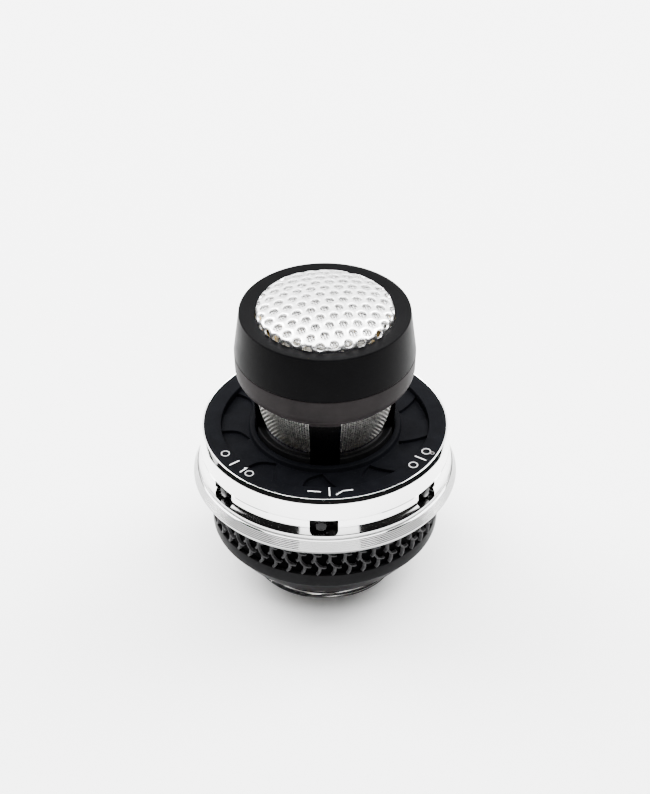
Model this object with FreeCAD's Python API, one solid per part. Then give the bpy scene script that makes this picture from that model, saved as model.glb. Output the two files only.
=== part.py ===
import FreeCAD
import Part
import math
import os

# A condenser microphone capsule head with its outer basket taken off.
# Millimetres, +Z up. The origin is the centre of the base thread ring's lower face.
# The front, where the low cut switch is, looks along -Y.

V = FreeCAD.Vector
Z_AXIS = V(0, 0, 1)

# Base thread ring, contact well and the shell that carries them.
THREAD_R = 15.65
NECK_R = 15.35
WELL_R = 13.30
WELL_TOP = 3.40
CONTACT_BOARD_T = 1.60
SHELL_BASE_Z = 5.40
SHELL_FLOOR_Z = 7.40
SHELL_FOOT_R = 19.30
SHELL_BELLY_R = 22.55
SHELL_BELLY_Z = 9.80
SHELL_BAND_R = 23.40
SHELL_STEP_Z = 13.40
SHELL_TOP_Z = 22.10
SHELL_CORE_R = 21.60
SHELL_BORE_R = 20.00

# The rubber grip and the hooks of its tread: rows of bars and arcs, each row set over.
GRIP_R = 22.90
TREAD_R = 23.55
TREAD_COLUMNS = 48
TREAD_ROWS = 3
TREAD_TOP_Z = 21.85
TREAD_ROW_STEP = 3.10
TREAD_ROW_SHIFT = 1.00

# Grille mount ring, from the flange up to its lip.
FLANGE_R = 27.00
FLANGE_TOP_Z = 22.80
LIP_R = 25.87
LIP_Z = 26.00
COVE_TOP_Z = 28.00
RING_R = 25.40
RING_TOP_Z = 34.50
RING_BORE_R = 23.90
BOARD_LEDGE_Z = 24.60
RING_WEB_R = 17.60
DISC_Z = 34.40
DISC_R = 24.48
DISC_RIM_T = 1.20

# Switch windows: three of them, turned about the axis from the front.
WINDOW_W = 5.65
WINDOW_LOW_Z = 26.00
WINDOW_HIGH_Z = 29.50
WINDOW_CORNER_R = 0.90
SIDE_SWITCH_DEG = 52.9
KNOB_Z = 27.60
KNOB_R = 1.13
SWITCH_TRAVEL = 1.50
SWITCH_FACE_R = 23.40
SWITCH_W = 7.60
SWITCH_DEPTH = 3.00
SWITCH_TOP_Z = 30.20

# Suspension disc with its fan-shaped pockets.
POCKET_COUNT = 10
POCKET_FIRST_DEG = 268.5
POCKET_OUTER_R = 21.10
POCKET_DEPTH = 0.45
FLOOR_Z = 33.40
HUB_RIM_R = 15.32
HUB_HOLE_R = 14.18
HUB_BORE_R = 13.00
HUB_LEDGE_Z = DISC_Z - DISC_RIM_T

# Vent frame: the collar, the stem and four posts that lift the capsule.
POST_COUNT = 4
POST_W = 5.85
COLLAR_R = 13.85
COLLAR_Z = 35.40
MESH_TOP_Z = 44.40
MESH_BOTTOM_R = 12.04
MESH_TOP_R = 14.10
MESH_BELLY_R = 13.42
MESH_BELLY_Z = 40.00
MESH_T = 0.25
FRAME_TOP_Z = 45.60
POST_TOP_R = 14.25

# Rear bowl and front cap.
BOWL_LIP_R = 14.43
BOWL_LIP_Z = 44.68
BOWL_FLOOR_Z = 46.80
SEAM_Z = 52.55
SEAM_R = 18.00
SPIGOT_R = 16.70
SPIGOT_TOP_Z = 55.50
CAP_BORE_R = 15.70
CAP_TOP_R = 16.73
CAP_TOP_Z = 61.73
CAP_MOUTH_R = 13.68
CAP_MOUTH_Z = 61.37
CAP_SHELF_Z = 60.20

# Perforated dome.
DOME_R = 41.80
DOME_TOP_Z = 64.65
DOME_T = 0.45
DOME_SKIRT_R = 13.55
DOME_KNUCKLE_R = 12.75
DOME_FLANGE_R = 15.50
HOLE_R = 0.90
HOLE_PITCH = 2.752
HOLE_TURN_DEG = 11.0
HOLE_OFFSET_X = 0.85
HOLE_OFFSET_Y = -0.88

# Capsule and the boards inside.
CAPSULE_R = 13.40
CAPSULE_Z = 48.80
BACKPLATE_R = 11.15
PREAMP_Z = 13.40
PREAMP_T = 1.60
PREAMP_R = 19.40
LEAD_R = 0.45


def turned(points):
    """A solid turned from an outline of (radius, height) points.

    A point with four numbers is the middle and the end of an arc.
    """
    edges = []
    here = points[0]
    for step in points[1:] + [points[0][:2]]:
        start = V(here[-2], 0, here[-1])
        end = V(step[-2], 0, step[-1])
        if (start - end).Length < 1e-6:
            continue
        if len(step) == 4:
            middle = V(step[0], 0, step[1])
            edges.append(Part.Arc(start, middle, end).toShape())
        else:
            edges.append(Part.LineSegment(start, end).toShape())
        here = step
    face = Part.Face(Part.Wire(edges))
    return face.revolve(V(0, 0, 0), Z_AXIS, 360)


def tube(inner_r, outer_r, low_z, high_z):
    body = Part.makeCylinder(outer_r, high_z - low_z, V(0, 0, low_z))
    if inner_r > 0:
        body = body.cut(Part.makeCylinder(inner_r, high_z - low_z, V(0, 0, low_z)))
    return body


def post_at(radius, at_r, at_deg, low_z, high_z):
    """An upright cylinder on a circle about the axis."""
    angle = math.radians(at_deg)
    foot = V(at_r * math.cos(angle), at_r * math.sin(angle), low_z)
    return Part.makeCylinder(radius, high_z - low_z, foot)


def front_block(width, low_r, high_r, low_z, high_z, middle=0.0):
    """A block at the front, width along X, from low_r to high_r away from the axis."""
    corner = V(middle - width / 2, -high_r, low_z)
    return Part.makeBox(width, high_r - low_r, high_z - low_z, corner)


def about_axis(shape, degrees):
    turned_shape = shape.copy()
    turned_shape.rotate(V(0, 0, 0), Z_AXIS, degrees)
    return turned_shape


def group(solids):
    return Part.Compound(solids)


def three_angles(first):
    return [first + 120 * k for k in range(3)]


# The base: thread ring, contact board and its gold rings.

FLANGE_SCREW_PCR = 17.30
STANDOFF_PCR = 16.80
SHELL_SCREW_PCR = 19.50
THREAD_FLANGE_R = 19.00
THREAD_FLANGE_Z = 9.00
SCREW_R = 0.70
SCREW_HOLE_R = 0.75


def base_thread_ring():
    ring = turned([
        (WELL_R, 0.3), (WELL_R + 0.3, 0), (THREAD_R - 0.25, 0), (THREAD_R, 0.25),
        (THREAD_R, SHELL_BASE_Z), (NECK_R, SHELL_BASE_Z), (NECK_R, SHELL_FLOOR_Z),
        (THREAD_FLANGE_R, SHELL_FLOOR_Z),
        (THREAD_FLANGE_R, THREAD_FLANGE_Z), (11.6, THREAD_FLANGE_Z),
        (11.6, WELL_TOP), (WELL_R, WELL_TOP)])
    for angle in three_angles(30):
        ring = ring.cut(post_at(SCREW_HOLE_R, FLANGE_SCREW_PCR, angle, SHELL_FLOOR_Z, THREAD_FLANGE_Z))
    return ring


def contact_board():
    return tube(0, WELL_R - 0.05, WELL_TOP - CONTACT_BOARD_T, WELL_TOP)


def contact_ring(inner_r, outer_r):
    low_z = WELL_TOP - CONTACT_BOARD_T - 0.15
    return tube(inner_r, outer_r, low_z, low_z + 0.15)


def contact_header():
    return front_block(8.0, -1.3, 1.3, WELL_TOP, PREAMP_Z)


def pan_screw(at_r, at_deg, tip_z, seat_z, head_r, head_h):
    shank = post_at(SCREW_R, at_r, at_deg, tip_z, seat_z + head_h / 2)
    return shank.fuse(post_at(head_r, at_r, at_deg, seat_z, seat_z + head_h)).removeSplitter()


def flange_screws():
    return group([pan_screw(FLANGE_SCREW_PCR, a, SHELL_BASE_Z + 0.6, THREAD_FLANGE_Z, 1.3, 0.9)
                  for a in three_angles(30)])


def board_standoffs():
    posts = []
    for angle in three_angles(90):
        post = post_at(1.6, STANDOFF_PCR, angle, THREAD_FLANGE_Z, PREAMP_Z)
        posts.append(post.cut(post_at(SCREW_HOLE_R, STANDOFF_PCR, angle, PREAMP_Z - 3, PREAMP_Z)))
    return group(posts)


def board_screws():
    top = PREAMP_Z + PREAMP_T
    return group([pan_screw(STANDOFF_PCR, a, PREAMP_Z - 2.6, top, 1.4, 0.9) for a in three_angles(90)])


# The lower shell, its rubber grip and the shell screws.

def lower_shell():
    shell = turned([
        (NECK_R + 0.05, SHELL_BASE_Z), (SHELL_FOOT_R, SHELL_BASE_Z),
        (21.07, 7.69, SHELL_BELLY_R, SHELL_BELLY_Z), (23.15, 10.35, SHELL_BAND_R, 11.1),
        (SHELL_BAND_R, SHELL_STEP_Z),
        (SHELL_CORE_R, SHELL_STEP_Z), (SHELL_CORE_R, SHELL_TOP_Z), (SHELL_BORE_R, SHELL_TOP_Z),
        (SHELL_BORE_R, 8.6), (19.3, SHELL_FLOOR_Z), (NECK_R + 0.05, SHELL_FLOOR_Z)])
    boss_low = PREAMP_Z + PREAMP_T + 1.5
    wall = tube(0, SHELL_CORE_R - 0.3, boss_low, SHELL_TOP_Z)
    for angle in three_angles(30):
        boss = post_at(1.4, SHELL_SCREW_PCR, angle, boss_low, SHELL_TOP_Z).common(wall)
        shell = shell.fuse(boss)
        shell = shell.cut(post_at(SCREW_HOLE_R, SHELL_SCREW_PCR, angle, SHELL_TOP_Z - 4, SHELL_TOP_Z))
        shell = shell.cut(post_at(SCREW_HOLE_R, FLANGE_SCREW_PCR, angle, SHELL_BASE_Z + 0.5, SHELL_FLOOR_Z))
    return shell.removeSplitter()


# Outlines of the tread's two raised forms, as (distance to the right, height) from a hook's top.
TREAD_BAR = (
    (-0.28, 0.0), (0.28, 0.0), (0.3, -1.1), (0.1, -1.75), (-0.45, -2.2), (-0.85, -2.1),
    (-0.35, -1.6), (-0.26, -1.0))
TREAD_ARC = (
    (0.2, -0.95), (0.42, -1.95), (0.85, -2.65), (1.45, -2.98), (2.3, -2.95), (2.35, -3.35),
    (1.3, -3.4), (0.5, -2.95), (0.05, -2.1))


def tread_prism(outline, along, top_z):
    """One raised form of the tread, pushed out of the grip at its own place."""
    middle = sum(x for x, z in outline) / len(outline)
    low_z = SHELL_STEP_Z + 0.1
    corners = [V(x - middle, -(GRIP_R - 0.4), max(low_z, top_z + z)) for x, z in outline]
    face = Part.Face(Part.makePolygon(corners + corners[:1]))
    prism = face.extrude(V(0, -(TREAD_R - GRIP_R + 0.4), 0))
    return about_axis(prism, math.degrees((along + middle) / TREAD_R))


def grip_ring():
    band = tube(SHELL_CORE_R + 0.02, GRIP_R, SHELL_STEP_Z, SHELL_TOP_Z)
    pitch = 2 * math.pi * TREAD_R / TREAD_COLUMNS
    hooks = []
    for column in range(TREAD_COLUMNS):
        for row in range(TREAD_ROWS):
            along = column * pitch + row * TREAD_ROW_SHIFT
            top_z = TREAD_TOP_Z - row * TREAD_ROW_STEP
            hooks.append(tread_prism(TREAD_BAR, along, top_z))
            if row < TREAD_ROWS - 1:
                hooks.append(tread_prism(TREAD_ARC, along, top_z))
    return band.fuse(hooks)


def shell_screws():
    return group([pan_screw(SHELL_SCREW_PCR, a, SHELL_TOP_Z - 3.6, SHELL_TOP_Z + 1.5, 1.2, 0.8)
                  for a in three_angles(30)])


# The grille mount ring with its three switch windows.

def window_cutter():
    half = WINDOW_W / 2
    low_corner = WINDOW_LOW_Z + WINDOW_CORNER_R
    bend = WINDOW_CORNER_R * (1 - math.sqrt(0.5))
    outer_y = -(FLANGE_R + 1)
    edges = [
        Part.LineSegment(V(-half, outer_y, WINDOW_HIGH_Z), V(half, outer_y, WINDOW_HIGH_Z)),
        Part.LineSegment(V(half, outer_y, WINDOW_HIGH_Z), V(half, outer_y, low_corner)),
        Part.Arc(V(half, outer_y, low_corner), V(half - bend, outer_y, WINDOW_LOW_Z + bend),
                 V(half - WINDOW_CORNER_R, outer_y, WINDOW_LOW_Z)),
        Part.LineSegment(V(half - WINDOW_CORNER_R, outer_y, WINDOW_LOW_Z),
                         V(WINDOW_CORNER_R - half, outer_y, WINDOW_LOW_Z)),
        Part.Arc(V(WINDOW_CORNER_R - half, outer_y, WINDOW_LOW_Z),
                 V(bend - half, outer_y, WINDOW_LOW_Z + bend), V(-half, outer_y, low_corner)),
        Part.LineSegment(V(-half, outer_y, low_corner), V(-half, outer_y, WINDOW_HIGH_Z))]
    outline = Part.Face(Part.Wire([edge.toShape() for edge in edges]))
    return outline.extrude(V(0, 6, 0))


def grille_mount_ring():
    ring = turned([
        (RING_WEB_R, SHELL_TOP_Z), (FLANGE_R - 0.25, SHELL_TOP_Z), (FLANGE_R, SHELL_TOP_Z + 0.25),
        (FLANGE_R, FLANGE_TOP_Z), (26.15, 24.9), (LIP_R + 0.1, 25.0), (LIP_R - 0.1, 25.2),
        (LIP_R, 25.35), (LIP_R, LIP_Z - 0.1), (LIP_R - 0.1, LIP_Z),
        (25.07, 26.9, RING_R, COVE_TOP_Z), (RING_R, 29.40), (RING_R - 0.3, 29.45),
        (RING_R - 0.3, 29.50), (RING_R, 29.55), (RING_R, 33.6), (25.14, RING_TOP_Z - 0.05),
        (25.05, RING_TOP_Z), (DISC_R + 0.12, RING_TOP_Z), (DISC_R + 0.04, RING_TOP_Z - 0.08),
        (DISC_R + 0.04, HUB_LEDGE_Z),
        (RING_BORE_R, HUB_LEDGE_Z), (RING_BORE_R, BOARD_LEDGE_Z), (22.6, BOARD_LEDGE_Z),
        (22.6, SHELL_TOP_Z + 1.5), (RING_WEB_R, SHELL_TOP_Z + 1.5)])
    for angle in (-SIDE_SWITCH_DEG, 0, SIDE_SWITCH_DEG):
        ring = ring.cut(about_axis(window_cutter(), angle))
    for angle in three_angles(30):
        ring = ring.cut(post_at(0.9, SHELL_SCREW_PCR, angle, SHELL_TOP_Z, SHELL_TOP_Z + 1.5))
    return ring


# The switches: a board, three bodies and three sliders.

SWITCH_BOARD_T = 1.00
SLIDER_GAP = 0.10


def switch_board():
    return tube(15.6, RING_BORE_R - 0.2, BOARD_LEDGE_Z, BOARD_LEDGE_Z + SWITCH_BOARD_T)


def switch_body(turn_deg):
    low_z = BOARD_LEDGE_Z + SWITCH_BOARD_T
    body = front_block(SWITCH_W, SWITCH_FACE_R - SWITCH_DEPTH, SWITCH_FACE_R, low_z, SWITCH_TOP_Z)
    cavity = front_block(4.8, SWITCH_FACE_R - 1.8, SWITCH_FACE_R - 0.5, KNOB_Z - 1.3, KNOB_Z + 1.3)
    slot = front_block(3.3, SWITCH_FACE_R - 0.6, SWITCH_FACE_R, KNOB_Z - 0.75, KNOB_Z + 0.75)
    return about_axis(body.cut(cavity).cut(slot), turn_deg)


def switch_slider(turn_deg, rest_side):
    """The carriage in the switch, its neck and the round knob in the window."""
    middle = rest_side * SWITCH_TRAVEL / 2
    gap = SLIDER_GAP
    carriage = front_block(3.0, SWITCH_FACE_R - 1.8 + gap, SWITCH_FACE_R - 0.5 - gap,
                           KNOB_Z - 1.3 + gap, KNOB_Z + 1.3 - gap, middle)
    neck = front_block(1.6, SWITCH_FACE_R - 0.8, SWITCH_FACE_R + 0.3, KNOB_Z - 0.65, KNOB_Z + 0.65, middle)
    knob_length = 1.35
    knob = Part.makeCylinder(KNOB_R, knob_length, V(middle, -(SWITCH_FACE_R + 0.15), KNOB_Z), V(0, -1, 0))
    rim = max(knob.Edges, key=lambda edge: -edge.CenterOfMass.y)
    knob = knob.makeChamfer(0.18, [rim])
    return about_axis(carriage.fuse(neck).fuse(knob).removeSplitter(), turn_deg)


# The suspension disc.

def polar(radius, degrees, z):
    angle = math.radians(degrees)
    return V(radius * math.cos(angle), radius * math.sin(angle), z)


def pocket_cutter(apex_deg):
    """A fan with its apex at the hub, one bowed arm and one straighter arm."""
    z = FLOOR_Z - POCKET_DEPTH
    apex = polar(15.7, apex_deg, z)
    bowed_end = polar(POCKET_OUTER_R, apex_deg - 11, z)
    straight_end = polar(POCKET_OUTER_R, apex_deg + 9.5, z)
    bow = polar(18.0, apex_deg - 8.2, z)
    edges = [
        Part.Arc(apex, bow, bowed_end),
        Part.Arc(bowed_end, polar(POCKET_OUTER_R, apex_deg - 1, z), straight_end),
        Part.Arc(straight_end, polar(18.2, apex_deg + 3.6, z), apex)]
    outline = Part.Face(Part.Wire([edge.toShape() for edge in edges]))
    return outline.extrude(V(0, 0, POCKET_DEPTH + 1))


def suspension_disc():
    under_z = FLOOR_Z - 1.2
    disc = turned([
        (DISC_R, DISC_Z), (DISC_R, HUB_LEDGE_Z), (23.6, HUB_LEDGE_Z), (23.6, under_z),
        (15.0, under_z), (15.0, 28.0), (HUB_BORE_R, 28.0), (HUB_BORE_R, HUB_LEDGE_Z),
        (HUB_HOLE_R, HUB_LEDGE_Z), (HUB_HOLE_R, 34.7), (14.3, 34.8), (14.5, 34.72),
        (HUB_RIM_R, 33.6), (15.5, FLOOR_Z), (POCKET_OUTER_R - 0.15, FLOOR_Z), (POCKET_OUTER_R, DISC_Z)])
    for k in range(POCKET_COUNT):
        disc = disc.cut(pocket_cutter(POCKET_FIRST_DEG + k * 360 / POCKET_COUNT))
    return disc


# The vent frame and the woven side mesh behind it.

def vent_frame():
    frame = turned([
        (11.5, 29.0), (HUB_BORE_R - 0.1, 29.0), (HUB_BORE_R - 0.1, HUB_LEDGE_Z),
        (COLLAR_R, HUB_LEDGE_Z), (COLLAR_R, 35.15), (13.78, 35.36, 13.6, COLLAR_Z),
        (13.3, 35.2), (12.4, 35.15), (12.15, COLLAR_Z), (11.5, COLLAR_Z)])
    top_ring = tube(12.2, POST_TOP_R, MESH_TOP_Z, FRAME_TOP_Z)
    gap = 0.05
    band = turned([
        (MESH_BOTTOM_R + gap, COLLAR_Z), (14.1, COLLAR_Z), (POST_TOP_R, MESH_TOP_Z),
        (MESH_TOP_R + gap, MESH_TOP_Z),
        (MESH_BELLY_R + gap, MESH_BELLY_Z, MESH_BOTTOM_R + gap, COLLAR_Z)])
    foot = tube(HUB_BORE_R, 14.1, HUB_LEDGE_Z, COLLAR_Z)
    for k in range(POST_COUNT):
        wedge = about_axis(front_block(POST_W, 10, 16, HUB_LEDGE_Z, FRAME_TOP_Z), k * 90)
        frame = frame.fuse(band.common(wedge)).fuse(foot.common(wedge))
    return frame.fuse(top_ring).removeSplitter()


def side_mesh():
    return turned([
        (MESH_BOTTOM_R - MESH_T, COLLAR_Z), (MESH_BOTTOM_R, COLLAR_Z),
        (MESH_BELLY_R, MESH_BELLY_Z, MESH_TOP_R, MESH_TOP_Z), (MESH_TOP_R - MESH_T, MESH_TOP_Z),
        (MESH_BELLY_R - MESH_T, MESH_BELLY_Z, MESH_BOTTOM_R - MESH_T, COLLAR_Z)])


# The rear bowl, the front cap and what closes its mouth.

def rear_bowl():
    bowl = turned([
        (BOWL_LIP_R - 0.13, BOWL_LIP_Z), (BOWL_LIP_R, BOWL_LIP_Z), (15.7, 45.15),
        (17.35, 46.65, 17.88, 49.2), (SEAM_R, SEAM_Z - 0.17), (SEAM_R - 0.15, SEAM_Z),
        (SPIGOT_R, SEAM_Z), (SPIGOT_R, SPIGOT_TOP_Z), (CAP_BORE_R, SPIGOT_TOP_Z),
        (CAP_BORE_R, 48.3), (15.2, 47.2, 14.2, BOWL_FLOOR_Z), (11.0, BOWL_FLOOR_Z),
        (11.0, FRAME_TOP_Z), (BOWL_LIP_R - 0.13, FRAME_TOP_Z)])
    tab = turned([
        (BOWL_LIP_R - 0.13, 44.14), (14.62, 44.14), (14.9, 44.5), (15.4, 45.1),
        (BOWL_LIP_R - 0.13, 45.1)])
    for k in range(POST_COUNT):
        wedge = about_axis(front_block(POST_W, 10, 18, 43, 46), k * 90)
        bowl = bowl.fuse(tab.common(wedge))
    return bowl.removeSplitter()


def front_cap():
    return turned([
        (SEAM_R - 0.15, SEAM_Z), (SEAM_R + 0.01, SEAM_Z + 0.2), (16.88, 61.58),
        (CAP_TOP_R, CAP_TOP_Z), (CAP_MOUTH_R, CAP_MOUTH_Z), (CAP_MOUTH_R, CAP_SHELF_Z),
        (CAP_BORE_R, CAP_SHELF_Z), (CAP_BORE_R, SPIGOT_TOP_Z + 0.1),
        (SPIGOT_R + 0.05, SPIGOT_TOP_Z + 0.1), (SPIGOT_R + 0.05, SEAM_Z)])


def dome_z(radius, offset=0.0):
    """Height of the dome, or of a surface under it, at a distance from the axis."""
    r = DOME_R - offset
    return DOME_TOP_Z - DOME_R + math.sqrt(r * r - radius * radius)


def hole_centres():
    """Centres of the punched holes: rows in a triangular lattice, seen from above."""
    turn = math.radians(HOLE_TURN_DEG)
    row_step = HOLE_PITCH * math.sqrt(3) / 2
    centres = []
    for row in range(-6, 7):
        for place in range(-9, 10):
            along = HOLE_PITCH * (place + row / 2)
            across = row_step * row
            x = HOLE_OFFSET_X + along * math.cos(turn) - across * math.sin(turn)
            y = HOLE_OFFSET_Y + along * math.sin(turn) + across * math.cos(turn)
            if math.hypot(x, y) < DOME_SKIRT_R - 0.3:
                centres.append((x, y))
    return centres


def dome_shell(offset, thickness, knuckle_r, skirt_r, flange_r, flange_z):
    """A pressed dome: a spherical crown, a knuckle, a skirt and a flat flange."""
    outer_z = dome_z(knuckle_r, offset)
    inner_r = knuckle_r - 0.15
    inner_z = dome_z(inner_r, offset + thickness)
    skirt_z = outer_z - 0.95
    crown_mid = knuckle_r / 2
    top = DOME_TOP_Z - offset
    return turned([
        (0, top), (crown_mid, dome_z(crown_mid, offset), knuckle_r, outer_z),
        (skirt_r - 0.15, outer_z - 0.42, skirt_r, skirt_z), (skirt_r, flange_z),
        (flange_r, flange_z), (flange_r, flange_z - thickness),
        (skirt_r - thickness, flange_z - thickness), (skirt_r - thickness, skirt_z),
        (skirt_r - thickness - 0.1, inner_z - 0.25, inner_r, inner_z),
        (crown_mid, dome_z(crown_mid, offset + thickness), 0, top - thickness)])


def dome_grille():
    dome = dome_shell(0, DOME_T, DOME_KNUCKLE_R, DOME_SKIRT_R, DOME_FLANGE_R, CAP_SHELF_Z)
    low_z = CAP_MOUTH_Z + 0.25
    punches = [Part.makeCylinder(HOLE_R, 5, V(x, y, low_z)) for x, y in hole_centres()]
    return dome.cut(Part.Compound(punches))


def dome_mesh():
    gap = DOME_T + 0.05
    skirt_r = DOME_SKIRT_R - gap
    return dome_shell(gap, 0.2, DOME_KNUCKLE_R - gap, skirt_r, skirt_r + 0.01, CAP_SHELF_Z - DOME_T + 0.2)


def grille_retainer():
    top = CAP_SHELF_Z - DOME_T
    return tube(12.2, CAP_BORE_R - 0.05, top - 1.2, top)


# The capsule: two diaphragms, one each side of a backplate.

FILM_T = 0.05
CLAMP_SCREW_PCR = 12.30
CLAMP_T = 1.10
CLAMP_SCREW_COUNT = 6
INSULATOR_T = 3.80
CLAMP_SCREW_R = 0.40


def clamp_holes(shape, low_z, high_z):
    for k in range(CLAMP_SCREW_COUNT):
        shape = shape.cut(post_at(CLAMP_SCREW_R + 0.05, CLAMP_SCREW_PCR, k * 60, low_z, high_z))
    return shape


def capsule_heights():
    rear_film = CAPSULE_Z + CLAMP_T
    insulator = rear_film + FILM_T
    front_film = insulator + INSULATOR_T
    front_clamp = front_film + FILM_T
    return rear_film, insulator, front_film, front_clamp


def clamp_ring(low_z):
    ring = tube(9.6, CAPSULE_R, low_z, low_z + CLAMP_T)
    return clamp_holes(ring, low_z, low_z + CLAMP_T)


def diaphragm(low_z):
    film = tube(0, CAPSULE_R, low_z, low_z + FILM_T)
    return clamp_holes(film, low_z, low_z + FILM_T)


def capsule_insulator():
    low_z = capsule_heights()[1]
    high_z = low_z + INSULATOR_T
    ring = turned([
        (CAPSULE_R, low_z), (CAPSULE_R, high_z), (BACKPLATE_R + 0.05, high_z),
        (BACKPLATE_R + 0.05, low_z + 1.3), (10.65, low_z + 1.3), (10.65, low_z)])
    return clamp_holes(ring, low_z, high_z)


def backplate():
    low_z = capsule_heights()[1]
    return turned([
        (0, low_z + 0.05), (10.6, low_z + 0.05), (10.6, low_z + 1.3), (BACKPLATE_R, low_z + 1.3),
        (BACKPLATE_R, low_z + INSULATOR_T - 0.05), (0, low_z + INSULATOR_T - 0.05)])


def clamp_screws():
    seat = capsule_heights()[3] + CLAMP_T
    screws = []
    for k in range(CLAMP_SCREW_COUNT):
        shank = post_at(CLAMP_SCREW_R, CLAMP_SCREW_PCR, k * 60, CAPSULE_Z + 0.2, seat + 0.2)
        head = post_at(0.8, CLAMP_SCREW_PCR, k * 60, seat, seat + 0.55)
        screws.append(shank.fuse(head).removeSplitter())
    return group(screws)


def capsule_mount_ring():
    return turned([
        (11.2, BOWL_FLOOR_Z), (13.9, BOWL_FLOOR_Z), (15.0, 48.0), (15.0, 49.6),
        (CAPSULE_R + 0.1, 49.6), (CAPSULE_R + 0.1, CAPSULE_Z), (11.2, CAPSULE_Z)])


def capsule_leads():
    return group([post_at(LEAD_R, 10.3, angle, PREAMP_Z + PREAMP_T, CAPSULE_Z)
                  for angle in three_angles(60)])


# The amplifier board and what is soldered to it.

def preamp_board():
    board = tube(0, PREAMP_R, PREAMP_Z, PREAMP_Z + PREAMP_T)
    for angle in three_angles(30):
        board = board.cut(post_at(2.2, SHELL_SCREW_PCR, angle, PREAMP_Z, PREAMP_Z + PREAMP_T))
    for angle in three_angles(90):
        board = board.cut(post_at(0.8, STANDOFF_PCR, angle, PREAMP_Z, PREAMP_Z + PREAMP_T))
    return board


def coupling_capacitors():
    low_z = PREAMP_Z + PREAMP_T
    return group([post_at(2.1, 7.0, angle, low_z, low_z + 5.0) for angle in three_angles(0)])


def input_transistor():
    low_z = PREAMP_Z + PREAMP_T
    return turned([
        (0, low_z), (2.7, low_z), (2.7, low_z + 0.5), (2.3, low_z + 0.5), (2.3, low_z + 3.6),
        (2.0, low_z + 3.9), (0, low_z + 3.9)])


def switch_board_header():
    return about_axis(front_block(4.0, 15.8, 17.4, PREAMP_Z + PREAMP_T, BOARD_LEDGE_Z), 90)


SWITCHES = (
    ("pad_switch", -SIDE_SWITCH_DEG, -1),
    ("low_cut_switch", 0.0, -1),
    ("pattern_switch", SIDE_SWITCH_DEG, 1))


def all_pieces():
    rear_film, insulator, front_film, front_clamp = capsule_heights()
    pieces = {
        "base_thread_ring": base_thread_ring(),
        "contact_board": contact_board(),
        "contact_pad_centre": contact_ring(0, 2.0),
        "contact_ring_middle": contact_ring(4.6, 6.6),
        "contact_ring_outer": contact_ring(9.2, 11.2),
        "contact_header": contact_header(),
        "flange_screws": flange_screws(),
        "board_standoffs": board_standoffs(),
        "preamp_board": preamp_board(),
        "board_screws": board_screws(),
        "coupling_capacitors": coupling_capacitors(),
        "input_transistor": input_transistor(),
        "lower_shell": lower_shell(),
        "grip_ring": grip_ring(),
        "grille_mount_ring": grille_mount_ring(),
        "shell_screws": shell_screws(),
        "switch_board": switch_board(),
        "switch_board_header": switch_board_header(),
        "suspension_disc": suspension_disc(),
        "vent_frame": vent_frame(),
        "side_mesh": side_mesh(),
        "rear_bowl": rear_bowl(),
        "front_cap": front_cap(),
        "dome_grille": dome_grille(),
        "dome_mesh": dome_mesh(),
        "grille_retainer": grille_retainer(),
        "capsule_mount_ring": capsule_mount_ring(),
        "capsule_insulator": capsule_insulator(),
        "backplate": backplate(),
        "rear_diaphragm": diaphragm(rear_film),
        "front_diaphragm": diaphragm(front_film),
        "rear_clamp_ring": clamp_ring(CAPSULE_Z),
        "front_clamp_ring": clamp_ring(front_clamp),
        "clamp_screws": clamp_screws(),
        "capsule_leads": capsule_leads()}
    for name, turn_deg, rest_side in SWITCHES:
        pieces[name + "_body"] = switch_body(turn_deg)
        pieces[name + "_slider"] = switch_slider(turn_deg, rest_side)
    return pieces


def main():
    os.makedirs("parts", exist_ok=True)
    for name, shape in all_pieces().items():
        shape.exportStep("parts/" + name + ".step")
        print(name, "solids", len(shape.Solids), "valid", shape.isValid(), "volume", round(shape.Volume, 2))


main()
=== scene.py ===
import math

import bmesh
import bpy
from bpy.props import FloatProperty, FloatVectorProperty, IntProperty, PointerProperty
from bpy.types import Operator, Panel, PropertyGroup
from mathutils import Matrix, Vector


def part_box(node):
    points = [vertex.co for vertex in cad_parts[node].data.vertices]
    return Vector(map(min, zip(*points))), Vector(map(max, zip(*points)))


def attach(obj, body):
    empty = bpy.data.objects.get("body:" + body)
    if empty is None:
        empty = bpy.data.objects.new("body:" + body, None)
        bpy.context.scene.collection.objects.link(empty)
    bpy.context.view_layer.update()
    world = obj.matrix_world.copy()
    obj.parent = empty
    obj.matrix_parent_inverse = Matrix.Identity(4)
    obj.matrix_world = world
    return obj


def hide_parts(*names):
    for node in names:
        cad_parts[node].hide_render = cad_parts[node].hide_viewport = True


bl_info = {
    "name": "Condenser capsule head",
    "version": (1, 0, 0),
    "blender": (4, 5, 0),
    "location": "3D View > Sidebar > Capsule head",
    "description": "Builds the looks of a condenser microphone capsule head round its solids",
    "category": "Object",
}

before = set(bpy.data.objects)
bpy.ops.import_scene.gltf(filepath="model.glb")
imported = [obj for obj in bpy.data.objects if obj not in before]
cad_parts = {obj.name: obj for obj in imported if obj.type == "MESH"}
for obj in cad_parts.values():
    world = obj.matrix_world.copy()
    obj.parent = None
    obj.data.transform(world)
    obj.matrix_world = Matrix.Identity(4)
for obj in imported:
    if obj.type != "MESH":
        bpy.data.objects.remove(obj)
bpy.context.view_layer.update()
MM = 0.001


def node_box(node):
    """Lowest and highest corner of a solid, in millimetres."""
    low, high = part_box(node)
    return low / MM, high / MM


SHELL_BASE = node_box("lower_shell")[0].z
GRIP_LOW_Z = node_box("grip_ring")[0].z
GRIP_HIGH_Z = node_box("grip_ring")[1].z
DOME_TOP = node_box("dome_grille")[1].z


# Sizes and colours that a user may change.

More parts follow.
